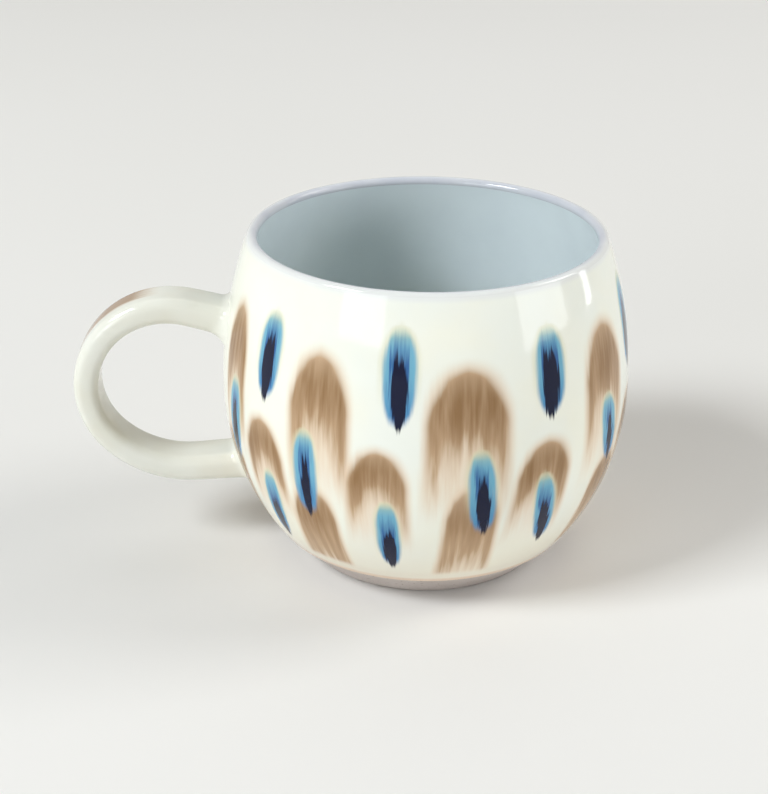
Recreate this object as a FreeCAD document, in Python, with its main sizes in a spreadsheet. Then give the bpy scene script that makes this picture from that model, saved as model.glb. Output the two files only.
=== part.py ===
import FreeCAD, Part
import math
import os

import Sketcher

os.makedirs("parts", exist_ok=True)
V = FreeCAD.Vector

# Round-bellied glazed stoneware mug with one loop handle.
# Frame: +Z up, the foot stands on z = 0, the mug axis is the Z axis,
# the handle points along -X.  Millimetres.

doc = FreeCAD.newDocument("Mug")
sheet = doc.addObject("Spreadsheet::Sheet", "Dims")
row = 0


def dim(alias, value):
    """One named size per row: the name in column A, the value or formula in column B."""
    global row
    row += 1
    sheet.set("A%d" % row, alias)
    sheet.set("B%d" % row, str(value))
    sheet.setAlias("B%d" % row, alias)


# Vessel, measured over the glaze.
dim("belly_diameter", 100)
dim("mug_height", 82.5)
dim("belly_height", 43.9)
dim("lower_curve", 61.1)
dim("upper_curve", 106)
dim("wall", 2.6)
dim("glaze", 0.4)
dim("glaze_line", 8.2)
dim("foot_radius", 30.2)
dim("foot_round", 0.8)
dim("recess_radius", 25)
dim("recess_depth", 1.8)
dim("floor_height", 6.6)
dim("inner_curve", 55)
dim("inner_corner", 12)

# Handle: a flattened strap, centre line in the XZ plane, sizes over the glaze.
dim("crest_reach", 12.8)
dim("crest_above_belly", -0.3)
dim("crest_curve", 20.5)
dim("heel_curve", 26.2)
dim("heel_turn", 46)
dim("upper_slope", 15)
dim("lower_slope", 3)
dim("upper_root_inset", 7)
dim("lower_root_inset", 12)
dim("strap_width", 12.2)
dim("strap_root", 7.6)
dim("strap_middle", 6.2)
dim("strap_corner", 2.6)
dim("joint_tight", 2.2)
dim("joint_wide", 5.5)
dim("joint_heel", 3)
dim("slip_depth", 0.8)
dim("bite", 0.2)
dim("form_half", 32)

# Derived sizes of the vessel.
dim("belly_radius", "=belly_diameter / 2")
dim("clay_radius", "=belly_radius - glaze")
dim("bore_radius", "=belly_radius - wall + glaze")
dim("liner_radius", "=belly_radius - wall")
dim("lip_half", "=wall / 2")
dim("lip_clay", "=lip_half - glaze")
dim("upper_centre", "=belly_radius - upper_curve")
dim("lip_up", "=mug_height - lip_half")
dim("lip_rise", "=lip_up - belly_height")
dim("lip_out", "=upper_centre + sqrt(pow(upper_curve - lip_half; 2) - pow(lip_rise; 2))")
dim("lean_out", "=(lip_out - upper_centre) / (upper_curve - lip_half)")
dim("lean_up", "=lip_rise / (upper_curve - lip_half)")
for name, reach in (("coat_top", "lip_half"), ("clay_top", "lip_clay")):
    dim(name + "_out", "=lip_out + %s * lean_out" % reach)
    dim(name + "_up", "=lip_up + %s * lean_up" % reach)
for name, reach in (("liner_top", "lip_half"), ("bore_top", "lip_clay")):
    dim(name + "_out", "=lip_out - %s * lean_out" % reach)
    dim(name + "_up", "=lip_up - %s * lean_up" % reach)
dim("lower_centre", "=belly_radius - lower_curve")
dim("line_drop", "=belly_height - glaze_line")
dim("line_out", "=lower_centre + sqrt(pow(lower_curve - glaze; 2) - pow(line_drop; 2))")
dim("coat_foot_out", "=line_out + glaze * (line_out - lower_centre) / (lower_curve - glaze)")
dim("coat_foot_up", "=glaze_line - glaze * line_drop / (lower_curve - glaze)")
dim("inner_centre", "=bore_radius - inner_curve")
dim("corner_up", "=floor_height + inner_corner")
dim("corner_drop", "=belly_height - corner_up")
dim("corner_reach", "=inner_curve - inner_corner")
dim("corner_out", "=inner_centre + sqrt(pow(corner_reach; 2) - pow(corner_drop; 2))")
dim("corner_lean_out", "=(corner_out - inner_centre) / corner_reach")
dim("corner_lean_up", "=corner_drop / corner_reach")
dim("bore_side_out", "=corner_out + inner_corner * corner_lean_out")
dim("bore_side_up", "=corner_up - inner_corner * corner_lean_up")
dim("liner_side_out", "=corner_out + (inner_corner - glaze) * corner_lean_out")
dim("liner_side_up", "=corner_up - (inner_corner - glaze) * corner_lean_up")
dim("liner_floor", "=floor_height + glaze")
dim("recess_inner", "=recess_radius - recess_depth")

# Derived sizes of the handle; its x values run negative, away from the mug.
dim("crest_x", "=-(belly_radius + crest_reach)")
dim("crest_centre_up", "=belly_height + crest_above_belly")
dim("upper_root", "=belly_radius - upper_root_inset")
dim("lower_root", "=belly_radius - lower_root_inset")
dim("crest_start_x", "=crest_x + crest_curve * sin(upper_slope * 1deg)")
dim("crest_start_up", "=crest_centre_up + crest_curve * cos(upper_slope * 1deg)")
dim("upper_end_x", "=-upper_root")
dim("upper_end_up", "=crest_start_up - (crest_start_x * -1 - upper_root) * tan(upper_slope * 1deg)")
dim("far_x", "=crest_x - crest_curve")
dim("turn_x", "=crest_x - crest_curve * cos(heel_turn * 1deg)")
dim("turn_up", "=crest_centre_up - crest_curve * sin(heel_turn * 1deg)")
dim("heel_x", "=turn_x + heel_curve * cos(heel_turn * 1deg)")
dim("heel_up", "=turn_up + heel_curve * sin(heel_turn * 1deg)")
dim("heel_end_x", "=heel_x + heel_curve * sin(lower_slope * 1deg)")
dim("heel_end_up", "=heel_up - heel_curve * cos(lower_slope * 1deg)")
dim("lower_end_x", "=-lower_root")
dim("lower_end_up", "=heel_end_up + (heel_end_x * -1 - lower_root) * tan(lower_slope * 1deg)")

# Plain filled forms of the belly, inside or outside the glazed surface by the given depth.
dim("form_low", "=belly_height - form_half")
dim("form_high", "=belly_height + form_half")
for name, depth in (("clay_core", "glaze + bite"), ("clay_form", "glaze"),
                    ("slip_form", "glaze - slip_depth"), ("coat_core", "bite"),
                    ("coat_form", "0")):
    dim(name + "_side", "=belly_radius - (%s)" % depth)
    dim(name + "_low_out", "=lower_centre + sqrt(pow(lower_curve - (%s); 2)"
        " - pow(belly_height - form_low; 2))" % depth)
    dim(name + "_high_out", "=upper_centre + sqrt(pow(upper_curve - (%s); 2)"
        " - pow(form_high - belly_height; 2))" % depth)

# Turn of each strap section about Y that stands it square to the centre line.
dim("upper_lean", "=90 - upper_slope")
dim("middle_lean", 180)
dim("lower_lean", "=90 - lower_slope")
doc.recompute()


def size(alias):
    value = sheet.get(alias)
    return float(getattr(value, "Value", value))


def origin_plane(body, role):
    for item in body.Origin.OriginFeatures:
        if item.Role == role:
            return item
    raise ValueError(role)


def hold(sketch, edge, end, across, up):
    """Tie one sketch point to two named sizes; None ties it to the axis or the ground."""
    for kind, axis, alias in (("DistanceX", -2, across), ("DistanceY", -1, up)):
        if alias is None:
            sketch.addConstraint(Sketcher.Constraint("PointOnObject", edge, end, axis))
        else:
            value = size(alias)
            index = sketch.addConstraint(Sketcher.Constraint(kind, -1, 1, edge, end, value))
            sketch.setExpression("Constraints[%d]" % index, "Dims." + alias)


def first_point(bends, i):
    """Which end of edge i comes first along the outline: an arc turned clockwise is reversed."""
    return 2 if i in bends and bends[i][2] < 0 else 1


def last_point(bends, i):
    return 3 - first_point(bends, i)


def draw(sketch, points, bends, closed=True):
    """Lines and arcs through named points; bends[i] = (centre x, centre y, turn)."""
    spots = []
    for across, up in points:
        spots.append(V(size(across) if across else 0, size(up) if up else 0, 0))
    count = len(points) if closed else len(points) - 1
    for i in range(count):
        a = spots[i]
        b = spots[(i + 1) % len(spots)]
        bend = bends.get(i)
        if bend is None:
            sketch.addGeometry(Part.LineSegment(a, b), False)
            continue
        centre = V(size(bend[0]), size(bend[1]), 0)
        radius = ((a - centre).Length + (b - centre).Length) / 2
        circle = Part.Circle(centre, V(0, 0, 1), radius)
        first = math.atan2(a.y - centre.y, a.x - centre.x)
        last = math.atan2(b.y - centre.y, b.x - centre.x)
        if bend[2] > 0:
            sketch.addGeometry(Part.ArcOfCircle(circle, first, last), False)
        else:
            sketch.addGeometry(Part.ArcOfCircle(circle, last, first), False)
    for i in range(count):
        end = last_point(bends, i)
        hold(sketch, i, first_point(bends, i), *points[i])
        follow = (i + 1) % count
        if closed or i + 1 < count:
            join = Sketcher.Constraint("Coincident", i, end, follow, first_point(bends, follow))
            sketch.addConstraint(join)
        else:
            hold(sketch, i, end, *points[i + 1])
    for i, bend in bends.items():
        value = size(bend[1])
        index = sketch.addConstraint(Sketcher.Constraint("DistanceY", -1, 1, i, 3, value))
        sketch.setExpression("Constraints[%d]" % index, "Dims." + bend[1])


def new_sketch(body, name, role):
    sketch = body.newObject("Sketcher::SketchObject", name)
    sketch.AttachmentSupport = [(origin_plane(body, role), "")]
    sketch.MapMode = "FlatFace"
    return sketch


def turned(label, points, bends):
    """A body of revolution about the mug axis from one half profile in the XZ plane."""
    body = doc.addObject("PartDesign::Body", label)
    body.Label = label
    sketch = new_sketch(body, label + "_profile", "XZ_Plane")
    draw(sketch, points, bends)
    turn = body.newObject("PartDesign::Revolution", label + "_turn")
    turn.Profile = sketch
    turn.ReferenceAxis = (sketch, ["V_Axis"])
    turn.Angle = 360
    sketch.Visibility = False
    return body


LINE = ("line_out", "glaze_line")
CLAY_BELLY = ("clay_radius", "belly_height")
COAT_BELLY = ("belly_radius", "belly_height")
BORE_BELLY = ("bore_radius", "belly_height")
LINER_BELLY = ("liner_radius", "belly_height")
CLAY_TOP = ("clay_top_out", "clay_top_up")
COAT_TOP = ("coat_top_out", "coat_top_up")
BORE_TOP = ("bore_top_out", "bore_top_up")
LINER_TOP = ("liner_top_out", "liner_top_up")
COAT_FOOT = ("coat_foot_out", "coat_foot_up")
LOWER = ("lower_centre", "belly_height")
UPPER = ("upper_centre", "belly_height")
INNER = ("inner_centre", "belly_height")
LIP = ("lip_out", "lip_up")
CORNER = ("corner_out", "corner_up")

# Clay vessel: turned foot with a bare bevel, belly, rounded lip, hollow inside.
body = turned(
    "stoneware_body",
    [(None, None), ("foot_radius", None), LINE, CLAY_BELLY, CLAY_TOP, BORE_TOP, BORE_BELLY,
     ("bore_side_out", "bore_side_up"), ("corner_out", "floor_height"), (None, "floor_height")],
    {2: LOWER + (1,), 3: UPPER + (1,), 4: LIP + (1,), 5: UPPER + (-1,), 6: INNER + (-1,),
     7: CORNER + (-1,)})
hollow = new_sketch(body, "recess_profile", "XZ_Plane")
draw(hollow, [(None, None), ("recess_radius", None), ("recess_inner", "recess_depth"),
              (None, "recess_depth")], {})
recess = body.newObject("PartDesign::Groove", "foot_recess")
recess.Profile = hollow
recess.ReferenceAxis = (hollow, ["V_Axis"])
recess.Angle = 360
doc.recompute()


def rim_edges(shape, radii, height):
    """Names of the full circular edges at one height with the given radii."""
    names = []
    for i, edge in enumerate(shape.Edges, 1):
        curve = edge.Curve
        if isinstance(curve, Part.Circle) and abs(curve.Center.z - height) < 1e-4:
            if any(abs(curve.Radius - r) < 1e-4 for r in radii):
                names.append("Edge%d" % i)
    return names


edges = rim_edges(recess.Shape, (size("foot_radius"), size("recess_radius")), 0)
soften = body.newObject("PartDesign::Fillet", "foot_softened")
soften.Base = (recess, edges)
soften.Radius = size("foot_round")
soften.setExpression("Radius", "Dims.foot_round")

# Outer, lip and inner coats; each follows the clay at one even thickness.
coat = turned("outer_coat", [LINE, COAT_FOOT, COAT_BELLY, COAT_TOP, CLAY_TOP, CLAY_BELLY],
              {1: LOWER + (1,), 2: UPPER + (1,), 4: UPPER + (-1,), 5: LOWER + (-1,)})
lip = turned("lip_glaze", [COAT_TOP, LINER_TOP, BORE_TOP, CLAY_TOP],
             {0: LIP + (1,), 2: LIP + (-1,)})
liner = turned(
    "liner_glaze",
    [LINER_TOP, LINER_BELLY, ("liner_side_out", "liner_side_up"), ("corner_out", "liner_floor"),
     (None, "liner_floor"), (None, "floor_height"), ("corner_out", "floor_height"),
     ("bore_side_out", "bore_side_up"), BORE_BELLY, BORE_TOP],
    {0: UPPER + (-1,), 1: INNER + (-1,), 2: CORNER + (-1,), 6: CORNER + (1,), 7: INNER + (1,),
     8: UPPER + (1,)})


def filled(label):
    """A filled form of the belly, used only to shape the joints."""
    return turned(label, [(None, "form_low"), (label + "_low_out", "form_low"),
                          (label + "_side", "belly_height"), (label + "_high_out", "form_high"),
                          (None, "form_high")], {1: LOWER + (1,), 2: UPPER + (1,)})


clay_core = filled("clay_core")
clay_form = filled("clay_form")
slip_form = filled("slip_form")
coat_core = filled("coat_core")
coat_form = filled("coat_form")
doc.recompute()

# Handle centre line: upper limb, crest, heel and lower limb in the XZ plane.
PATH = [("upper_end_x", "upper_end_up"), ("crest_start_x", "crest_start_up"),
        ("turn_x", "turn_up"), ("heel_end_x", "heel_end_up"), ("lower_end_x", "lower_end_up")]
PATH_BENDS = {1: ("crest_x", "crest_centre_up", 1), 2: ("heel_x", "heel_up", 1)}


def section(body, name, depth, trim, across, up, side, lean):
    """Strap cross-section: a rounded box standing square to the centre line."""
    sketch = new_sketch(body, name, "XY_Plane")
    turn = FreeCAD.Rotation(V(0, side, 0), size(lean))
    sketch.AttachmentOffset = FreeCAD.Placement(V(size(across), 0, size(up)), turn)
    sketch.setExpression("AttachmentOffset.Base.x", "Dims." + across)
    sketch.setExpression("AttachmentOffset.Base.z", "Dims." + up)
    sketch.setExpression("AttachmentOffset.Rotation.Angle", "Dims.%s * 1deg" % lean)
    inset = 0 if trim is None else size(trim)
    half_deep = size(depth) / 2 - inset
    half_wide = size("strap_width") / 2 - inset
    corner = size("strap_corner") - inset
    x = half_deep - corner
    y = half_wide - corner
    quarter = math.pi / 2
    for cx, cy, turn in ((x, y, 0), (-x, y, 1), (-x, -y, 2), (x, -y, 3)):
        circle = Part.Circle(V(cx, cy, 0), V(0, 0, 1), corner)
        arc = Part.ArcOfCircle(circle, turn * quarter, (turn + 1) * quarter)
        sketch.addGeometry(arc, False)
    sides = (((x, half_wide), (-x, half_wide)), ((-half_deep, y), (-half_deep, -y)),
             ((-x, -half_wide), (x, -half_wide)), ((half_deep, -y), (half_deep, y)))
    for start, end in sides:
        sketch.addGeometry(Part.LineSegment(V(*start, 0), V(*end, 0)), False)
    for i in range(4):
        sketch.addConstraint(Sketcher.Constraint("Tangent", i, 2, 4 + i, 1))
        sketch.addConstraint(Sketcher.Constraint("Tangent", 4 + i, 2, (i + 1) % 4, 1))
    for i in (1, 2, 3):
        sketch.addConstraint(Sketcher.Constraint("Equal", 0, i))
    sketch.addConstraint(Sketcher.Constraint("Symmetric", 0, 3, 2, 3, -1, 1))
    less = "" if trim is None else " - Dims." + trim
    for kind, first, last, value, rule in (
            ("Radius", 0, None, corner, "Dims.strap_corner" + less),
            ("DistanceX", (2, 3), (0, 3), 2 * x, "Dims.%s - 2 * Dims.strap_corner" % depth),
            ("DistanceY", (2, 3), (0, 3), 2 * y, "Dims.strap_width - 2 * Dims.strap_corner")):
        if last is None:
            index = sketch.addConstraint(Sketcher.Constraint(kind, first, value))
        else:
            index = sketch.addConstraint(Sketcher.Constraint(kind, *first, *last, value))
        sketch.setExpression("Constraints[%d]" % index, rule)
    return sketch


def strap(label, trim):
    """The handle strap swept along its centre line, slimmer in the middle than at its roots."""
    body = doc.addObject("PartDesign::Body", label)
    body.Label = label
    spine = new_sketch(body, label + "_path", "XZ_Plane")
    draw(spine, PATH, PATH_BENDS, closed=False)
    upper = section(body, label + "_upper", "strap_root", trim,
                    "upper_end_x", "upper_end_up", -1, "upper_lean")
    middle = section(body, label + "_middle", "strap_middle", trim,
                     "far_x", "crest_centre_up", 1, "middle_lean")
    lower = section(body, label + "_lower", "strap_root", trim,
                    "lower_end_x", "lower_end_up", 1, "lower_lean")
    doc.recompute()
    pipe = body.newObject("PartDesign::AdditivePipe", label + "_sweep")
    pipe.Profile = upper
    pipe.Spine = (spine, ["Edge%d" % (i + 1) for i in range(4)])
    pipe.Transformation = "Multisection"
    pipe.Sections = [(middle, [""]), (lower, [""])]
    pipe.Mode = "Standard"
    return body


handle_form = strap("handle_form", "glaze")
grip_form = strap("grip_form", None)
doc.recompute()


def fused(label, form, strap_body):
    item = doc.addObject("Part::Fuse", label)
    item.Base = form
    item.Tool = strap_body
    return item


clay_join = fused("clay_join", clay_core, handle_form)
coat_join = fused("coat_join", coat_core, grip_form)
doc.recompute()


def seam_edges(join, form, strap_body):
    """Numbers of the edges of a joined form where the strap meets the vessel."""
    found = []
    for number, edge in enumerate(join.Shape.Edges, 1):
        reach = edge.LastParameter - edge.FirstParameter
        on_both = True
        for share in (0.1, 0.5, 0.9):
            dot = Part.Vertex(edge.valueAt(edge.FirstParameter + reach * share))
            for skin in (form.Shape.Faces, strap_body.Shape.Faces):
                if min(face.distToShape(dot)[0] for face in skin) > 1e-3:
                    on_both = False
        if on_both:
            found.append(number)
    return found


def blend(label, join, form, strap_body, extra):
    """Concave rounding all round both joints, widest inside the loop under the crest."""
    ends = {}
    for number in seam_edges(join, form, strap_body):
        edge = join.Shape.Edges[number - 1]
        limits = [edge.FirstParameter, edge.LastParameter]
        if edge.Orientation == "Reversed":
            limits.reverse()
        ends[number] = [edge.valueAt(limit).z for limit in limits]
    edges = []
    for upper, low_round in ((True, "joint_wide"), (False, "joint_heel")):
        mine = {n: z for n, z in ends.items() if (z[0] > size("crest_centre_up")) == upper}
        low = min(min(z) for z in mine.values())
        high = max(max(z) for z in mine.values())
        for number, heights in mine.items():
            radii = []
            for z in heights:
                share = (z - low) / (high - low)
                radius = size(low_round) * (1 - share) + size("joint_tight") * share
                radii.append(radius + extra)
            edges.append((number, radii[0], radii[1]))
    item = doc.addObject("Part::Fillet", label)
    item.Base = join
    item.Edges = edges
    return item


clay_whole = blend("clay_whole", clay_join, clay_core, handle_form, size("glaze"))
coat_whole = blend("coat_whole", coat_join, coat_core, grip_form, 0)
doc.recompute()


def pair(kind, label, base, tool):
    item = doc.addObject("Part::" + kind, label)
    item.Label = label
    item.Base = base
    item.Tool = tool
    return item


# A thin bed of slip lutes each flared root of the strap to the vessel.
handle = pair("Cut", "handle", clay_whole, slip_form)
bedded = pair("Common", "bedded", clay_whole, slip_form)
slips = pair("Cut", "slips", bedded, clay_form)
upper_half = doc.addObject("Part::Box", "upper_half")
for name, rule in (("Length", "-Dims.crest_x"), ("Width", "2 * Dims.strap_width"),
                   ("Height", "Dims.form_half"), ("Placement.Base.x", "Dims.crest_x"),
                   ("Placement.Base.y", "-Dims.strap_width"),
                   ("Placement.Base.z", "Dims.crest_centre_up")):
    upper_half.setExpression(name, rule)
doc.recompute()
upper_slip = pair("Common", "upper_joint_slip", slips, upper_half)
lower_slip = pair("Cut", "lower_joint_slip", slips, upper_half)
# The outer coat stops where the joints come through it; the handle coat covers the joints.
body_glaze = pair("Cut", "body_glaze", coat, clay_whole)
grip_coat = pair("Cut", "grip_coat", coat_whole, coat_form)
handle_glaze = pair("Cut", "handle_glaze", grip_coat, clay_whole)
doc.recompute()
pieces = [body, handle, upper_slip, lower_slip, body_glaze, lip, liner, handle_glaze]
for item in doc.Objects:
    if "Invalid" in item.State or "Error" in item.State:
        raise RuntimeError("%s: %s" % (item.Label, item.State))
for item in pieces:
    shape = item.Shape
    if shape.isNull() or not shape.isValid() or len(shape.Solids) != 1:
        raise RuntimeError(item.Label + " is not one valid solid")
    shape.exportStep("parts/%s.step" % item.Label)
    print(item.Label, round(shape.Volume, 1), "mm3")
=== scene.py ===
import math

import bmesh
import bpy
from mathutils import Matrix, Vector


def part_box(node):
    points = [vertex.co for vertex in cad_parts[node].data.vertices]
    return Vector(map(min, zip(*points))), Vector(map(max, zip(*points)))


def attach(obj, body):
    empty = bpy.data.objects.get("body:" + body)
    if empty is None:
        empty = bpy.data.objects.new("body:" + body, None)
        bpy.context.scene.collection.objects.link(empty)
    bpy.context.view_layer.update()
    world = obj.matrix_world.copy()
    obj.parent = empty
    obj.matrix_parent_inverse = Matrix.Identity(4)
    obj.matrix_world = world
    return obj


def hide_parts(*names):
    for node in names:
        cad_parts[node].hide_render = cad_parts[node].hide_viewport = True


# Glazed stoneware mug with one strap handle, standing on a pale studio floor.
# Metres; +Z up, the mug's axis is the Z axis, the handle points along -X.

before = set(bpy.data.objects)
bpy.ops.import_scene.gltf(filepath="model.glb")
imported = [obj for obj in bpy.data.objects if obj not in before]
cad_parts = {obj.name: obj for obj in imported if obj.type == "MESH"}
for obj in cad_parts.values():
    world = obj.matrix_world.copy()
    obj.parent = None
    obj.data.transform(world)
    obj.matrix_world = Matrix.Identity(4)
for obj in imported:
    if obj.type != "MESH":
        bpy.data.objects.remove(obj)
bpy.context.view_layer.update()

# ---------------------------------------------------------------- sizes of the mug
MM = 0.001
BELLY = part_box("body_glaze")[1].x
CLAY_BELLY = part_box("stoneware_body")[1].x
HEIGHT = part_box("lip_glaze")[1].z
GLAZE = BELLY - CLAY_BELLY
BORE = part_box("liner_glaze")[1].x
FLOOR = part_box("liner_glaze")[0].z
LIP_HALF = (BELLY - BORE + GLAZE) / 2
EQUATOR = 43.9 * MM
LOWER_CURVE = 61.1 * MM
UPPER_CURVE = 106 * MM
INNER_CURVE = 55 * MM
INNER_CORNER = 12 * MM
GLAZE_LINE = 8.2 * MM
FOOT = 30.2 * MM
RECESS = 25 * MM
RECESS_DEPTH = 1.8 * MM
FOOT_ROUND = 0.8 * MM

# Handle: the middle of the strap runs in the XZ plane, sizes are taken over the glaze.
CREST = Vector((-BELLY - 12.8 * MM, 0, EQUATOR - 0.3 * MM))
CREST_CURVE = 20.5 * MM
HEEL_CURVE = 26.2 * MM
HEEL_TURN = 46
UPPER_SLOPE = 15
LOWER_SLOPE = 3
STRAP_WIDTH = 12.2 * MM
STRAP_CORNER = 2.6 * MM
STRAP_ROOT = 7.6 * MM
STRAP_MIDDLE = 6.2 * MM
JOINT_TIGHT = 2.2 * MM
JOINT_WIDE = 5.5 * MM
JOINT_HEEL = 3 * MM
SPARE = 0.25 * MM

# Centres of the vessel's arcs, as places in the XZ plane on the side away from the handle.
LOWER_CENTRE = Vector((BELLY - LOWER_CURVE, 0, EQUATOR))
UPPER_CENTRE = Vector((BELLY - UPPER_CURVE, 0, EQUATOR))
INNER_CENTRE = Vector((BORE - INNER_CURVE, 0, EQUATOR))


def on_arc(centre, radius, height):
    """The outer point of an arc at one height."""
    rise = height - centre.z
    return Vector((centre.x + math.sqrt(radius ** 2 - rise ** 2), 0, height))


LIP = on_arc(UPPER_CENTRE, UPPER_CURVE - LIP_HALF, HEIGHT - LIP_HALF)
LIP_OUT = (LIP - UPPER_CENTRE).normalized()
LIP_UP = Vector((-LIP_OUT.z, 0, LIP_OUT.x))
LINE = on_arc(LOWER_CENTRE, LOWER_CURVE - GLAZE, GLAZE_LINE)
LINE_OUT = (LINE - LOWER_CENTRE).normalized()
LINE_DOWN = Vector((LINE_OUT.z, 0, -LINE_OUT.x))
CORNER = on_arc(INNER_CENTRE, INNER_CURVE - INNER_CORNER, FLOOR + INNER_CORNER)
CORNER_OUT = (CORNER - INNER_CENTRE).normalized()


def heading(angle):
    """Unit direction in the XZ plane, turned up from +X by an angle in degrees."""
    return Vector((math.cos(math.radians(angle)), 0, math.sin(math.radians(angle))))


# ---------------------------------------------------------------- modelling helpers
def bend(centre, start, end, steps):
    """Points of the arc from start to end round a centre, with a very short first and last step."""
    a = start - centre
    b = end - centre
    first = math.atan2(a.z, a.x)
    sweep = (math.atan2(b.z, b.x) - first + math.pi) % (2 * math.pi) - math.pi
    sliver = 0.03 * MM / (abs(sweep) * a.length)
    shares = [0, sliver] + [i / steps for i in range(1, steps)] + [1 - sliver, 1]
    return [centre + a.length * heading(math.degrees(first + sweep * share)) for share in shares]


def begin(name):
    """A new one-square mesh in edit mode, all selected, with nothing else selected."""
    bpy.ops.object.select_all(action="DESELECT")
    bpy.ops.mesh.primitive_plane_add(size=MM)
    piece = bpy.context.object
    piece.name = name
    piece.data.name = name
    bpy.ops.object.mode_set(mode="EDIT")
    bpy.ops.mesh.select_all(action="SELECT")
    return piece


def close_up(piece, angle=35):
    """Merges seams and poles, points the faces outwards and smooths the shading."""
    bpy.ops.mesh.select_all(action="SELECT")
    bpy.ops.mesh.remove_doubles(threshold=0.002 * MM)
    bpy.ops.mesh.normals_make_consistent(inside=False)
    bpy.ops.object.mode_set(mode="OBJECT")
    bpy.ops.object.shade_smooth_by_angle(angle=math.radians(angle))
    return piece


def lathe(name, outline, steps=240):
    """An outline drawn point by point and spun about the mug's axis."""
    piece = begin(name)
    bpy.ops.mesh.merge(type="CENTER")
    bpy.ops.transform.translate(value=outline[0])
    for here, there in zip(outline, outline[1:]):
        if (there - here).length > 0.001 * MM:
            bpy.ops.mesh.extrude_region_move(TRANSFORM_OT_translate={"value": there - here})
    bpy.ops.mesh.select_all(action="SELECT")
    bpy.ops.mesh.spin(steps=steps, angle=2 * math.pi, center=(0, 0, 0), axis=(0, 0, 1))
    return close_up(piece)


def apply_all(piece):
    """Applies the piece's modifiers from first to last."""
    bpy.ops.object.select_all(action="DESELECT")
    piece.select_set(True)
    bpy.context.view_layer.objects.active = piece
    for modifier in list(piece.modifiers):
        bpy.ops.object.modifier_apply(modifier=modifier.name)


# ---------------------------------------------------------------- vessel
def coat_outline():
    """Outer coat, from its rolled lower edge over the belly to the lip and back along the clay."""
    foot = LINE + LINE_OUT * GLAZE
    belly = Vector((BELLY, 0, EQUATOR))
    clay = Vector((CLAY_BELLY, 0, EQUATOR))
    outline = bend(LOWER_CENTRE, foot, belly, 44)
    outline += bend(UPPER_CENTRE, belly, LIP + LIP_OUT * LIP_HALF, 40)
    outline += bend(UPPER_CENTRE, LIP + LIP_OUT * (LIP_HALF - GLAZE), clay, 16)
    outline += bend(LOWER_CENTRE, clay, LINE, 16)
    roll = (LINE + foot) / 2
    for turn in (-60, -30, 0, 30, 60, 90):
        side = LINE_OUT * math.sin(math.radians(turn)) + LINE_DOWN * math.cos(math.radians(turn))
        outline.append(roll + side * GLAZE / 2)
    return outline


def lip_outline():
    half = LIP_HALF - GLAZE
    outline = bend(LIP, LIP + LIP_OUT * LIP_HALF, LIP + LIP_UP * LIP_HALF, 10)
    outline += bend(LIP, LIP + LIP_UP * LIP_HALF, LIP - LIP_OUT * LIP_HALF, 10)
    outline += bend(LIP, LIP - LIP_OUT * half, LIP + LIP_UP * half, 5)
    outline += bend(LIP, LIP + LIP_UP * half, LIP + LIP_OUT * half, 5)
    return outline + [outline[0]]


def bowl(depth, steps):
    """The hollow of the vessel from the lip to the middle of the floor, so deep under the glaze."""
    side = Vector((BORE + depth, 0, EQUATOR))
    heel = CORNER + CORNER_OUT * (INNER_CORNER + depth)
    floor = Vector((CORNER.x, 0, FLOOR - depth))
    outline = bend(UPPER_CENTRE, LIP - LIP_OUT * (LIP_HALF - depth), side, steps)
    outline += bend(INNER_CENTRE, side, heel, steps)
    outline += bend(CORNER, heel, floor, steps // 2)
    return outline + [Vector((CORNER.x / 2, 0, floor.z)), Vector((0, 0, floor.z))]


def liner_outline():
    outline = bowl(0, 32) + bowl(GLAZE, 16)[::-1]
    return outline + [outline[0]]


def clay_outline():
    """Bare clay: recessed foot ring, bevel, belly, lip and hollow."""
    belly = Vector((CLAY_BELLY, 0, EQUATOR))
    half = LIP_HALF - GLAZE
    outline = [Vector((0, 0, RECESS_DEPTH)), Vector((RECESS - RECESS_DEPTH, 0, RECESS_DEPTH))]
    outline += [Vector((RECESS, 0, 0)), Vector((FOOT, 0, 0))]
    outline += bend(LOWER_CENTRE, LINE, belly, 20)
    outline += bend(UPPER_CENTRE, belly, LIP + LIP_OUT * half, 20)
    outline += bend(LIP, LIP + LIP_OUT * half, LIP + LIP_UP * half, 5)
    outline += bend(LIP, LIP + LIP_UP * half, LIP - LIP_OUT * half, 5)
    return outline + bowl(GLAZE, 16)


def edge_weight(piece):
    """The mesh's bevel weights, made when they are first asked for."""
    layer = piece.data.attributes.get("bevel_weight_edge")
    return layer or piece.data.attributes.new("bevel_weight_edge", "FLOAT", "EDGE")


def soften_foot(piece):
    """Rounds the edges of the foot ring and of the recess under it."""
    for edge in piece.data.edges:
        here, there = (piece.data.vertices[i].co for i in edge.vertices)
        level = abs(here.z - there.z) < 0.01 * MM
        round_about = abs(here.xy.length - there.xy.length) < 0.01 * MM
        edge.use_edge_sharp = False
        if level and round_about and max(here.z, there.z) < RECESS_DEPTH + 0.01 * MM:
            edge_weight(piece).data[edge.index].value = 1
    bevel = piece.modifiers.new("foot", "BEVEL")
    bevel.width = FOOT_ROUND
    bevel.segments = 5
    bevel.limit_method = "WEIGHT"
    apply_all(piece)


clay_vessel = lathe("turned_clay_vessel", clay_outline(), steps=180)
soften_foot(clay_vessel)
outer_coat = lathe("outer_glaze_coat", coat_outline())
lip_coat = lathe("lip_glaze_band", lip_outline())
liner_coat = lathe("liner_glaze_coat", liner_outline())


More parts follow.
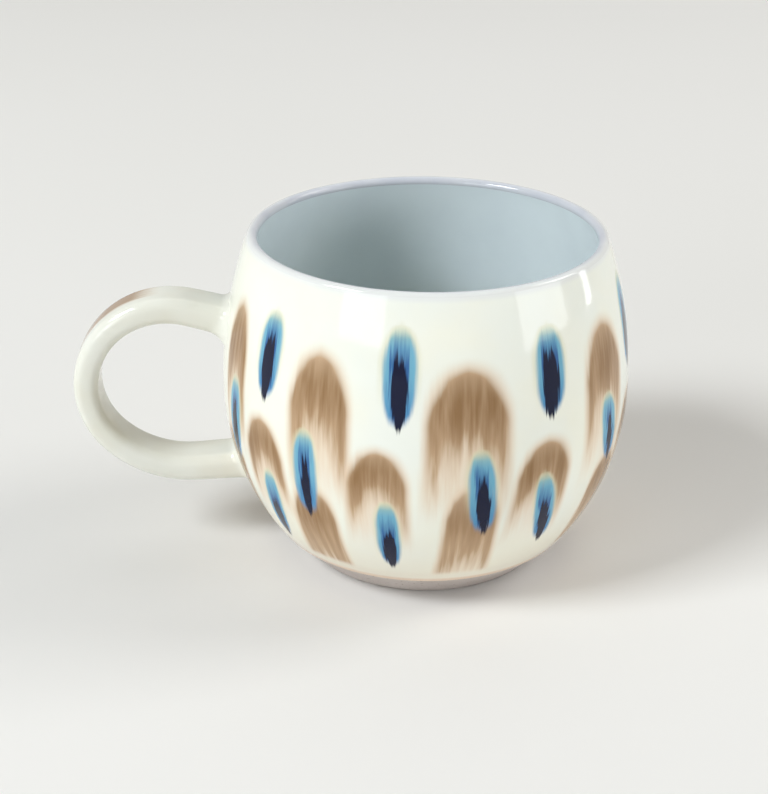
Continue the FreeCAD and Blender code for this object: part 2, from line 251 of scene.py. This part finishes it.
# ---------------------------------------------------------------- handle coat
def strap_sections():
    """Sections down the strap: (middle, angle its outer face looks along, depth, width)."""
    places = []
    start = CREST + CREST_CURVE * heading(90 - UPPER_SLOPE)
    for run in (2.4, 1.2):
        places.append((start + run * MM * heading(-UPPER_SLOPE), 90 - UPPER_SLOPE))
    for i in range(25):
        angle = 90 - UPPER_SLOPE + (90 + UPPER_SLOPE + HEEL_TURN) * i / 24
        places.append((CREST + CREST_CURVE * heading(angle), angle))
    turn = 180 + HEEL_TURN
    heel = CREST + (CREST_CURVE - HEEL_CURVE) * heading(turn)
    for i in range(1, 13):
        angle = turn + (90 - HEEL_TURN + LOWER_SLOPE) * i / 12
        places.append((heel + HEEL_CURVE * heading(angle), angle))
    end = places[-1][0]
    for run in (1.8, 3.6):
        places.append((end + run * MM * heading(LOWER_SLOPE), 270 + LOWER_SLOPE))
    last = len(places) - 1
    sections = []
    for i, (place, angle) in enumerate(places):
        depth = STRAP_ROOT - (STRAP_ROOT - STRAP_MIDDLE) * math.sin(math.pi * i / last)
        sections.append((place, angle, depth + 2 * SPARE, STRAP_WIDTH + 2 * SPARE))
    return sections


def spread(rounding, gap):
    """How far a rounded joint reaches past the strap's side at one gap from the wall."""
    inside = max(0, rounding - max(gap, 0))
    return rounding - math.sqrt(rounding ** 2 - inside ** 2) - min(gap, 0)


def flare(centre, radius, strap_end, facing, above, below):
    """Rings from the strap down on to the belly, widening as the rounded joint does."""
    line = heading(facing + 90 if facing < 180 else facing - 90)
    middle_of_curve = Vector((-centre.x, 0, centre.z))
    away = strap_end - middle_of_curve
    along = away.dot(line)
    wall = strap_end - line * (along - math.sqrt(along ** 2 - away.length ** 2 + radius ** 2))
    slope = wall - middle_of_curve
    outward = math.degrees(math.atan2(slope.z, slope.x)) % 360
    up = heading(outward - 90)
    level = outward - 90 if facing < 180 else outward + 90
    rings = []
    for gap in (5.6, 4.4, 3.3, 2.3, 1.5, 0.9, 0.4, 0.1, -1.0):
        over = spread(above, gap * MM)
        under = spread(below, gap * MM)
        side = spread((above + below) / 2, gap * MM)
        middle = wall + line * max(gap, 0) * MM / line.dot(heading(outward)) + up * (over - under) / 2
        angle = level + (facing - level) * max(0, min(1, gap / 4))
        rings.append((middle, angle, STRAP_ROOT + over + under + 2 * SPARE,
                      STRAP_WIDTH + 2 * side + 2 * SPARE))
    return rings


def place_ring(here, there):
    """Moves, turns and sizes the newest ring from one section to the next."""
    bpy.ops.transform.translate(value=there[0] - here[0])
    bpy.ops.transform.rotate(
        value=math.radians(there[1] - here[1]), orient_axis="Y", center_override=there[0])
    across = heading(there[1])
    own_axes = Matrix(((across.x, 0, -across.z), (0, 1, 0), (across.z, 0, across.x)))
    bpy.ops.transform.resize(
        value=(there[2] / here[2], there[3] / here[3], 1), orient_type="GLOBAL",
        orient_matrix=own_axes, orient_matrix_type="GLOBAL", center_override=there[0])


def strap_ring(first):
    """The strap's first section: a rectangle with rounded corners, as a ring of edges."""
    piece = begin("handle_glaze_coat")
    bpy.ops.transform.resize(value=(STRAP_ROOT / MM, STRAP_WIDTH / MM, 1))
    bpy.ops.mesh.bevel(offset=STRAP_CORNER, segments=4, affect="VERTICES")
    mesh = bmesh.from_edit_mesh(piece.data)
    for edge in mesh.edges:
        edge.select = edge.calc_length() > 2 * MM
    mesh.select_flush(False)
    bpy.ops.mesh.subdivide(number_cuts=3)
    bpy.ops.mesh.select_all(action="SELECT")
    bpy.ops.mesh.delete(type="ONLY_FACE")
    bpy.ops.mesh.select_all(action="SELECT")
    place_ring((Vector((0, 0, 0)), 0, STRAP_ROOT, STRAP_WIDTH), first)
    return piece


def strap_coat():
    strap = strap_sections()
    upper = flare(UPPER_CENTRE, UPPER_CURVE, strap[0][0], strap[0][1], JOINT_TIGHT, JOINT_WIDE)
    lower = flare(LOWER_CENTRE, LOWER_CURVE, strap[-1][0], strap[-1][1], JOINT_TIGHT, JOINT_HEEL)
    sections = upper[::-1] + strap + lower
    piece = strap_ring(sections[0])
    for here, there in zip(sections, sections[1:]):
        bpy.ops.mesh.extrude_region_move(TRANSFORM_OT_translate={"value": (0, 0, 0)})
        place_ring(here, there)
    bpy.ops.mesh.select_all(action="SELECT")
    bpy.ops.mesh.normals_make_consistent(inside=False)
    bpy.ops.object.mode_set(mode="OBJECT")
    ring = len(piece.data.vertices) // len(sections)
    edge_rings = piece.vertex_groups.new(name="on_wall")
    strap_rings = piece.vertex_groups.new(name="on_strap")
    count = len(piece.data.vertices)
    edge_rings.add(list(range(ring)) + list(range(count - ring, count)), 1, "ADD")
    strap_rings.add(list(range(ring, count - ring)), 1, "ADD")
    for group, target, gap in (("on_strap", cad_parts["handle_glaze"], 0),
                               ("on_wall", outer_coat, -0.03 * MM)):
        wrap = piece.modifiers.new(group, "SHRINKWRAP")
        wrap.target = target
        wrap.wrap_method = "NEAREST_SURFACEPOINT"
        wrap.wrap_mode = "ABOVE_SURFACE"
        wrap.offset = gap
        wrap.vertex_group = group
    shell = piece.modifiers.new("wall", "SOLIDIFY")
    shell.thickness = 0.35 * MM
    shell.offset = -1
    fine = piece.modifiers.new("fine", "SUBSURF")
    fine.levels = 2
    fine.render_levels = 2
    apply_all(piece)
    bpy.ops.object.shade_smooth()
    return piece


handle_coat = strap_coat()

PIECES = (
    (clay_vessel, "bare_clay", "stoneware_body"),
    (outer_coat, "cream_glaze", "body_glaze"),
    (lip_coat, "lip_glaze", "lip_glaze"),
    (liner_coat, "liner_glaze", "liner_glaze"),
    (handle_coat, "handle_glaze", "handle_glaze"),
)
for piece, slot, node in PIECES:
    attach(piece, "root")
    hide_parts(node)


# ---------------------------------------------------------------- finishes
class Value:
    """A number or colour that varies over the surface; arithmetic on it adds the nodes."""

    def __init__(self, finish, socket):
        self.finish = finish
        self.socket = socket

    def __add__(self, other):
        return self.finish.maths("ADD", self, other)

    def __radd__(self, other):
        return self.finish.maths("ADD", other, self)

    def __sub__(self, other):
        return self.finish.maths("SUBTRACT", self, other)

    def __rsub__(self, other):
        return self.finish.maths("SUBTRACT", other, self)

    def __mul__(self, other):
        return self.finish.maths("MULTIPLY", self, other)

    def __rmul__(self, other):
        return self.finish.maths("MULTIPLY", other, self)

    def __truediv__(self, other):
        return self.finish.maths("DIVIDE", self, other)

    def __pow__(self, other):
        return self.finish.maths("POWER", self, other)

    def __abs__(self):
        return self.finish.maths("ABSOLUTE", self)

    def wave(self):
        """The sine of an angle in degrees."""
        return self.finish.maths("SINE", self * (math.pi / 180))

    def least(self, other):
        return self.finish.maths("MINIMUM", self, other)

    def most(self, other):
        return self.finish.maths("MAXIMUM", self, other)

    def fade(self, start, end):
        """0 at the start value and 1 at the end value, easing between them; either may be larger."""
        return self.finish.node("ShaderNodeMapRange", {"interpolation_type": "SMOOTHSTEP"},
                                {"Value": self, "From Min": start, "From Max": end})


def linear(red, green, blue):
    """A colour given as it looks on a screen, 0 to 255, as the shader's own numbers."""
    channels = []
    for level in (red, green, blue):
        share = level / 255
        channels.append(share / 12.92 if share < 0.04045 else ((share + 0.055) / 1.055) ** 2.4)
    return tuple(channels) + (1,)


class Finish:
    """One material: its shader, and short ways to add and join nodes."""

    def __init__(self, name, **constants):
        self.material = bpy.data.materials.new(name)
        self.material.use_nodes = True
        self.tree = self.material.node_tree
        self.shader = self.tree.nodes["Principled BSDF"]
        for socket, value in constants.items():
            self.shader.inputs[socket.replace("_", " ")].default_value = value
        self.place = self.node("ShaderNodeTexCoord", output="Object")

    def node(self, kind, settings=None, inputs=None, output=0):
        """Adds a node, sets it up, joins or sets its sockets and gives one of its outputs."""
        made = self.tree.nodes.new(kind)
        for key, value in (settings or {}).items():
            setattr(made, key, value)
        for key, value in (inputs or {}).items():
            self.join(value, made.inputs[key])
        return Value(self, made.outputs[output])

    def join(self, value, socket):
        if isinstance(value, Value):
            self.tree.links.new(value.socket, socket)
        else:
            socket.default_value = value

    def feed(self, **sockets):
        for name, value in sockets.items():
            self.join(value, self.shader.inputs[name.replace("_", " ")])

    def maths(self, operation, *values):
        return self.node("ShaderNodeMath", {"operation": operation}, dict(enumerate(values)))

    def blend(self, share, under, over):
        """A colour that goes from one to the other as the share goes from 0 to 1."""
        made = self.tree.nodes.new("ShaderNodeMix")
        made.data_type = "RGBA"
        for value, socket in ((share, 0), (under, 6), (over, 7)):
            self.join(value, made.inputs[socket])
        return Value(self, made.outputs[2])

    def axes(self):
        """Object coordinates in millimetres."""
        split = self.node("ShaderNodeSeparateXYZ", inputs={0: self.place}).socket.node
        return [Value(self, output) * 1000 for output in split.outputs]

    def noise(self, vector, scale, detail=2.0, roughness=0.5):
        return self.node("ShaderNodeTexNoise", {}, {
            "Vector": vector, "Scale": scale, "Detail": detail, "Roughness": roughness}, "Fac")

    def ripple(self, height, strength, distance):
        """Turns a height into the shading of a surface that is not quite even."""
        self.feed(Normal=self.node("ShaderNodeBump", {}, {
            "Height": height, "Strength": strength, "Distance": distance}, "Normal"))


# ---------------------------------------------------------------- brushed dabs
CREAM = linear(243, 243, 229)
HAZE = linear(236, 208, 180)
TAUPE_THIN = linear(220, 188, 153)
TAUPE_THICK = linear(138, 101, 58)
FRINGE = linear(216, 216, 184)
SEA_GREEN = linear(158, 192, 184)
SKY_BLUE = linear(112, 174, 200)
DEEP_BLUE = linear(66, 130, 184)
STREAK_BLUE = linear(24, 76, 146)
NAVY = linear(4, 14, 48)

# The dabs stand in columns round the belly, two sets that take turns; angles are in degrees.
PITCH = 40
COLUMNS = 360 // PITCH
LARGE_COLUMNS = -81.8
SMALL_COLUMNS = -101.8


class Dabs:
    """Paint on the outer coat: columns of dabs round the belly, brushed from the top down."""

    def __init__(self, finish):
        self.finish = finish
        x, y, self.height = finish.axes()
        self.radius = (x * x + y * y) ** 0.5
        angle = finish.maths("ARCTAN2", y, x) * (180 / math.pi)
        # The columns stand a little closer together on one side of the mug than on the other.
        self.turn = angle - 3.6 * (1 - (angle + 210).wave())
        fine = self.bristles(x, y, 0.6, 10)
        self.broad = self.bristles(x, y, 1.7, 16)
        self.fine = fine * 0.75 + self.broad * 0.25

    def bristles(self, x, y, width, length):
        """Noise drawn out into vertical streaks, so wide and so long in millimetres."""
        round_about = BELLY / MM / width
        vector = self.finish.node("ShaderNodeCombineXYZ", inputs={
            0: x / self.radius * round_about, 1: y / self.radius * round_about,
            2: self.height / length})
        noise = self.finish.noise(vector, 1.0, 2.0, 0.55)
        return (noise - 0.5) * 2.2

    def column(self, start):
        """The nearest column of a set: degrees from its middle, and its number, -2 to 6."""
        count = (self.turn - start) / PITCH
        nearest = self.finish.maths("ROUND", count)
        across = (count - nearest) * PITCH
        number = nearest - COLUMNS * self.finish.maths("FLOOR", (nearest + 2.5) / COLUMNS)
        return across, number

    def own_axes(self, across, top, length, lean):
        """Millimetres to the side of a dab's middle, and the share of its length from its top."""
        down = (top - self.height) / length
        beside = across * (math.pi / 180) * self.radius + self.broad * 0.35
        return beside + lean * (down - 0.5), down

    def hood(self, under, across, top, length, half, lean, hollow=0.7, soft=0.14, dense=0.54):
        """A taupe dab: dense round crown, long ragged sides and a paler middle below."""
        beside, down = self.own_axes(across, top, length, lean)
        side = abs(beside) / half
        crown = (1 - (1 - (down / 0.42).least(1).most(0)) ** 2) ** 0.42
        inside = crown - side + self.broad * 0.05
        body = inside.fade(-0.14, 0.28 + 0.5 * down.fade(0.4, 0)) * down.fade(-0.02, soft)
        uneven = down + self.broad * 0.09 + self.fine * 0.03
        wane = (uneven - side * side * 0.2).fade(dense - 0.1, dense + 0.42)
        wisps = (self.broad * 0.8 + self.fine * 0.15).fade(-0.6, 0.8) * down.fade(0.15, 0.8)
        pale = uneven.fade(dense - 0.3, dense + 0.26) * side.fade(0.9, 0.1) * hollow
        cover = body * (1 - wane) * (1 - wisps * 0.42) * (1 - pale)
        streaks = (self.broad * 1.1 + self.fine * 0.3 + 0.2).fade(-0.4, 1.1)
        haze = inside.fade(-0.2, 0.4) * down.fade(0.06, 0.4) * down.fade(1.12, 0.7) * 0.5
        colour = self.finish.blend(haze * (1 - wisps * 0.5), under, HAZE)
        depth = cover.fade(0.1, 1.0) * (1 - streaks * 0.34)
        depth = depth * (0.5 + 0.5 * down.fade(0.0, 0.26)) * (1 - 0.4 * down.fade(0.3, 0.75))
        tan = self.finish.blend(depth, TAUPE_THIN, TAUPE_THICK)
        return self.finish.blend((cover * 1.25).least(0.96), colour, tan)

    def drop(self, under, across, top, length, half, lean, start, core):
        """A blue dab: pale halo, then streaks that run together into a navy core."""
        beside, down = self.own_axes(across, top, length, lean)
        side = abs(beside) / half
        swell = (1 - (1 - (down / 0.42).least(1).most(0)) ** 2) ** 0.55
        swell = swell * (1 - 0.45 * ((down - 0.6) / 0.4).most(0) ** 2)
        inside = swell - side + self.fine * 0.1
        end = (down + self.fine * 0.05 + self.broad * 0.03).fade(1.03, 0.86)
        fringe = inside.fade(-0.36, 0.1) * down.fade(-0.06, 0.05) * down.fade(1.0, 0.3) * 0.6
        colour = self.finish.blend(fringe, under, FRINGE)
        halo = inside.fade(-0.08, 0.26) * down.fade(0.0, 0.14) * end
        halo = halo * (1 - 0.4 * self.fine.fade(0.15, 0.8))
        sky = self.finish.blend(down.fade(0.02, 0.24), SEA_GREEN, SKY_BLUE)
        deep = self.finish.blend((down + self.broad * 0.1).fade(0.4, 1.1), sky, DEEP_BLUE)
        colour = self.finish.blend(halo, colour, deep)
        taper = 0.42 + 0.58 * down.fade(start - 0.1, start + 0.4)
        heart = swell * core * taper - side + self.fine * 0.34 + self.broad * 0.16
        vein = swell * core * 1.05 - side + self.fine * 0.42
        streaks = vein.fade(-0.06, 0.2) * (down + self.fine * 0.2).fade(start - 0.2, start + 0.16)
        colour = self.finish.blend(streaks * end * 0.85, colour, STREAK_BLUE)
        uneven = down + self.fine * 0.24 - self.broad * 0.12
        navy = heart.fade(0.02, 0.14) * uneven.fade(start, start + 0.14)
        tail = (down + self.fine * 0.09).fade(1.1, 1.0)
        return self.finish.blend(navy * tail, colour, NAVY)

    def paint(self, ground):
        """All dabs, from those brushed first to those brushed over them.

        Waves of the column's number make every dab differ; the columns at the back sway less.
        """
        large_column, b = self.column(LARGE_COLUMNS)
        small_column, a = self.column(SMALL_COLUMNS)
        sway = 1 - 0.6 * b.fade(1, 2)
        every_other = (a * 180 + 90).wave()

        foot = large_column - sway * 5 * (b * 70 - 8).wave()
        top = 40.5 + 2.4 * (b * 140 + 60).wave()
        colour = self.hood(ground, foot, top, 32, 6.4, 1.0, hollow=0.0, soft=0.24, dense=0.72)

        large = large_column + 0.3 + sway * 2.7 * (b * 90 + 122).wave()
        top = 71.7 - 2.4 * (b * 80 + 114).wave()
        colour = self.hood(colour, large, top, 39, 8.1 + 1.8 * (b * 86 + 90).wave(), 0.0)

        inner = large_column + 0.4 - sway * 5.5 * (b * 114.3 + 20.9).wave()
        top = 51 - 3 * (b * 97.4 + 120).wave()
        lean = -0.7 - 2.7 * (b * 50 + 25).wave()
        colour = self.drop(colour, inner, top, 22.5 - 4 * b.fade(0, 1), 3.4, lean, 0.26, 0.5)

        small = small_column + 2.6 + 2.8 * (a * 108.9 + 90).wave()
        lean = 1.5 * (a * 70).wave()
        colour = self.hood(colour, small, 49.8, 29, 7.4, lean, hollow=0.92, soft=0.16, dense=0.52)

        inner = small_column + 1 + 2 * (a * 106 + 115).wave()
        top = 36.8 + 2.9 * (a * 108.9 - 34.4).wave()
        lean = -0.5 - 2.6 * (a * 90).wave()
        colour = self.drop(colour, inner, top, 20.5, 2.9, lean, 0.34, 0.6)

        upper = small_column + 5 * a.fade(-1, -2)
        lean = 0.9 - (a * 65 + 50).wave()
        length = 21.3 + every_other
        return self.drop(colour, upper, 75 + 1.1 * every_other, length, 3.9, lean, 0.24, 0.6)


def outer_glaze():
    """Cream glaze over the brushed dabs, thin and warm along its lower edge, with painted shade low on
    the belly.
    """
    finish = Finish("dabbed_cream_glaze", IOR=1.45, Specular_IOR_Level=0.34)
    dabs = Dabs(finish)
    cloud = finish.noise(finish.place, 45.0, 3.0)
    ground = finish.blend(cloud.fade(0.3, 0.7), linear(240, 243, 235), CREAM)
    # Painted shade: the lower belly is made darker and warmer, as it looks where it turns down away
    # from the light and takes warm light from below.
    ground = finish.blend(dabs.height.fade(28, 9) * 0.6, ground, linear(238, 230, 209))
    colour = dabs.paint(ground)
    colour = finish.blend(dabs.height.fade(12.5, 10.5) * 0.9, colour, linear(238, 232, 216))
    edge = dabs.height.fade(9.6, 8.6) * (0.7 + 0.2 * dabs.broad)
    colour = finish.blend(edge, colour, linear(226, 196, 170))
    rim = dabs.height.fade(80.2, 81.6) * 0.5
    colour = finish.blend(rim, colour, linear(226, 228, 231))
    orange_peel = finish.noise(finish.place, 420.0, 2.0)
    slow = finish.noise(finish.place, 70.0, 1.0)
    finish.ripple(slow * 0.9 + orange_peel * 0.1, 0.25, 0.0006)
    finish.feed(Base_Color=colour, Roughness=0.06 + 0.05 * cloud)
    return finish.material


def liner_glaze():
    """The pale glaze inside, darker towards the floor of the mug: partly glaze pooled there, partly
    painted shade of the hollow.
    """
    finish = Finish("liner_glaze", IOR=1.5)
    cloud = finish.noise(finish.place, 55.0, 3.0)
    tone = finish.blend(cloud.fade(0.3, 0.7), linear(237, 248, 253), linear(232, 243, 249))
    height = finish.axes()[2] + 6 * (cloud - 0.5)
    # Painted shade: down the inside the glaze turns darker and olive grey, partly as pooled glaze and
    # partly as the shadow deep in the hollow painted into the colour.
    tone = finish.blend(height.fade(58, 16), tone, linear(168, 174, 160))
    finish.ripple(finish.noise(finish.place, 80.0, 1.0), 0.2, 0.0006)
    finish.feed(Base_Color=tone, Roughness=0.07 + 0.05 * cloud)
    return finish.material


def lip_glaze():
    """Where the two coats overlap: lavender grey on the inner half of the lip, cream outside."""
    finish = Finish("lip_glaze", IOR=1.5)
    x, y, z = finish.axes()
    cloud = finish.noise(finish.place, 130.0, 3.0)
    out = (x * x + y * y) ** 0.5 + 0.6 * (cloud - 0.5) - LIP.x / MM
    inner = finish.blend(cloud.fade(0.3, 0.7), linear(198, 202, 212), linear(207, 210, 217))
    tone = finish.blend(out.fade(-0.7, 1.1), inner, linear(230, 232, 230))
    finish.ripple(finish.noise(finish.place, 80.0, 1.0), 0.2, 0.0006)
    finish.feed(Base_Color=tone, Roughness=0.07 + 0.05 * cloud)
    return finish.material


def handle_glaze():
    """Cream glaze on the handle, with one taupe dab over its upper outer bend."""
    finish = Finish("handle_cream_glaze", IOR=1.5)
    x, y, z = finish.axes()
    out = x - CREST.x / MM
    rise = z - CREST.z / MM
    angle = finish.maths("ARCTAN2", rise, out) * (180 / math.pi)
    reach = (out * out + rise * rise) ** 0.5
    bristles = finish.node("ShaderNodeCombineXYZ", inputs={0: angle / 14, 1: y / 0.5, 2: 0.0})
    streak = (finish.noise(bristles, 1.0, 2.0) - 0.5) * 2.2
    dab = (angle + streak * 5).fade(92, 112) * (angle + streak * 6).fade(172, 146)
    dab = dab * (y + streak * 0.4).fade(-2.6, -0.6) * reach.fade(CREST_CURVE / MM, CREST_CURVE / MM + 1)
    cloud = finish.noise(finish.place, 55.0, 3.0)
    ground = finish.blend(cloud.fade(0.3, 0.7), linear(236, 237, 228), linear(230, 229, 215))
    taupe = finish.blend(dab, linear(214, 186, 156), linear(164, 135, 106))
    finish.ripple(finish.noise(finish.place, 80.0, 1.0), 0.2, 0.0006)
    finish.feed(Base_Color=finish.blend(dab * 0.95, ground, taupe), Roughness=0.07 + 0.05 * cloud)
    return finish.material


def stoneware(name, colour, other):
    """Unglazed fired clay: matt, a little sandy, with fine dark specks."""
    finish = Finish(name, IOR=1.45)
    cloud = finish.noise(finish.place, 90.0, 4.0)
    grain = finish.noise(finish.place, 2600.0, 2.0)
    speck = finish.noise(finish.place, 1400.0, 1.0)
    tone = finish.blend(cloud.fade(0.3, 0.7), colour, other)
    tone = finish.blend(speck.fade(0.68, 0.74) * 0.6, tone, linear(112, 96, 84))
    finish.ripple(grain, 0.5, 0.0001)
    finish.feed(Base_Color=tone, Roughness=0.72 + 0.16 * grain)
    return finish.material


def dress(piece, material):
    """Gives a piece one material and no other."""
    piece.data.materials.clear()
    piece.data.materials.append(material)


dress(outer_coat, outer_glaze())
dress(lip_coat, lip_glaze())
dress(liner_coat, liner_glaze())
dress(handle_coat, handle_glaze())
dress(clay_vessel, stoneware("bare_clay", linear(196, 187, 182), linear(184, 174, 169)))
for node in ("handle", "upper_joint_slip", "lower_joint_slip"):
    shade = 196 if node == "handle" else 206
    clay = stoneware(node + "_clay", linear(shade, shade - 9, shade - 14), linear(184, 174, 169))
    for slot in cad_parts[node].material_slots:
        slot.material = clay


# ---------------------------------------------------------------- studio
def studio_floor():
    """A pale matt square, wide enough to fill the view behind the mug."""
    piece = begin("studio_floor")
    bpy.ops.transform.resize(value=(3.4 / MM, 3.4 / MM, 1))
    bpy.ops.object.mode_set(mode="OBJECT")
    finish = Finish("pale_floor", Roughness=0.9)
    cloud = finish.noise(finish.place, 1.5, 2.0)
    tone = finish.blend(cloud.fade(0.3, 0.7), linear(236, 235, 232), linear(238, 237, 235))
    finish.feed(Base_Color=tone)
    dress(piece, finish.material)


def soft_light(name, azimuth, elevation, distance, width, height, power, colour):
    """A soft box that looks at the middle of the mug; azimuth 0 is in front, at -Y."""
    light = bpy.data.lights.new(name, "AREA")
    light.shape = "RECTANGLE"
    light.size = width
    light.size_y = height
    light.energy = power
    light.color = colour
    turn = math.radians(azimuth)
    rise = math.radians(elevation)
    away = Vector((math.sin(turn) * math.cos(rise), -math.cos(turn) * math.cos(rise), math.sin(rise)))
    lamp = bpy.data.objects.new(name, light)
    lamp.location = away * distance + Vector((0, 0, HEIGHT / 2))
    lamp.rotation_euler = away.to_track_quat("Z", "Y").to_euler()
    bpy.context.scene.collection.objects.link(lamp)


WINDOW = (0.95, 0.98, 1.0)
SKYLIGHT = (0.94, 0.98, 1.0)
ROOM = (1.0, 0.99, 0.96)
WALL = (1.0, 0.99, 0.95)

studio_floor()
soft_light("left_window", -42, 15, 2.4, 1.12, 0.8, 11.6, WINDOW)
soft_light("left_key", -66, 42, 2.6, 0.8, 0.8, 42.4, SKYLIGHT)
soft_light("front_fill", -6, 8, 3.2, 3.2, 0.6, 4.4, WALL)
soft_light("right_window", 66, 9, 2.4, 1.32, 0.68, 12.8, WINDOW)
soft_light("right_window_edge", 102, 6, 2.4, 0.24, 0.92, 4.8, WINDOW)
soft_light("right_fill", 96, 38, 2.6, 1.0, 1.0, 20.0, ROOM)
soft_light("back_light", 175, 58, 3.0, 2.8, 2.4, 15.2, ROOM)


def studio_world():
    """Even pale surroundings, which light the mug at a lower level than they are seen at."""
    world = bpy.data.worlds.new("studio")
    bpy.context.scene.world = world
    world.use_nodes = True
    tree = world.node_tree
    ground = tree.nodes["Background"]
    ground.inputs["Color"].default_value = (1.0, 0.975, 0.93, 1)
    seen = tree.nodes.new("ShaderNodeLightPath")
    either = tree.nodes.new("ShaderNodeVectorMath")
    either.operation = "LENGTH"
    rays = tree.nodes.new("ShaderNodeCombineXYZ")
    for i, ray in enumerate(("Is Camera Ray", "Is Glossy Ray", "Is Transmission Ray")):
        tree.links.new(seen.outputs[ray], rays.inputs[i])
    tree.links.new(rays.outputs[0], either.inputs[0])
    level = tree.nodes.new("ShaderNodeMapRange")
    level.inputs["To Min"].default_value = 0.2
    level.inputs["To Max"].default_value = 0.74
    tree.links.new(either.outputs["Value"], level.inputs["Value"])
    tree.links.new(level.outputs["Result"], ground.inputs["Strength"])


studio_world()

# The camera looks down on the mug by about 25 degrees, with the handle to its left.
camera_data = bpy.data.cameras.new("camera")
camera_data.lens = 68.01
camera_data.sensor_width = 36
camera_data.clip_start = 0.01
camera = bpy.data.objects.new("camera", camera_data)
bpy.context.scene.collection.objects.link(camera)
right = Vector((0.9984610, -0.0552926, 0.0042781))
up = Vector((0.0198374, 0.4281247, 0.9035019))
back = Vector((-0.0517885, -0.9020266, 0.4285627))
place = Vector((-0.029671, -0.339137, 0.199353))
camera.matrix_world = Matrix((
    (right.x, up.x, back.x, place.x), (right.y, up.y, back.y, place.y),
    (right.z, up.z, back.z, place.z), (0, 0, 0, 1)))
bpy.context.scene.camera = camera

scene = bpy.context.scene
scene.view_settings.view_transform = "Standard"
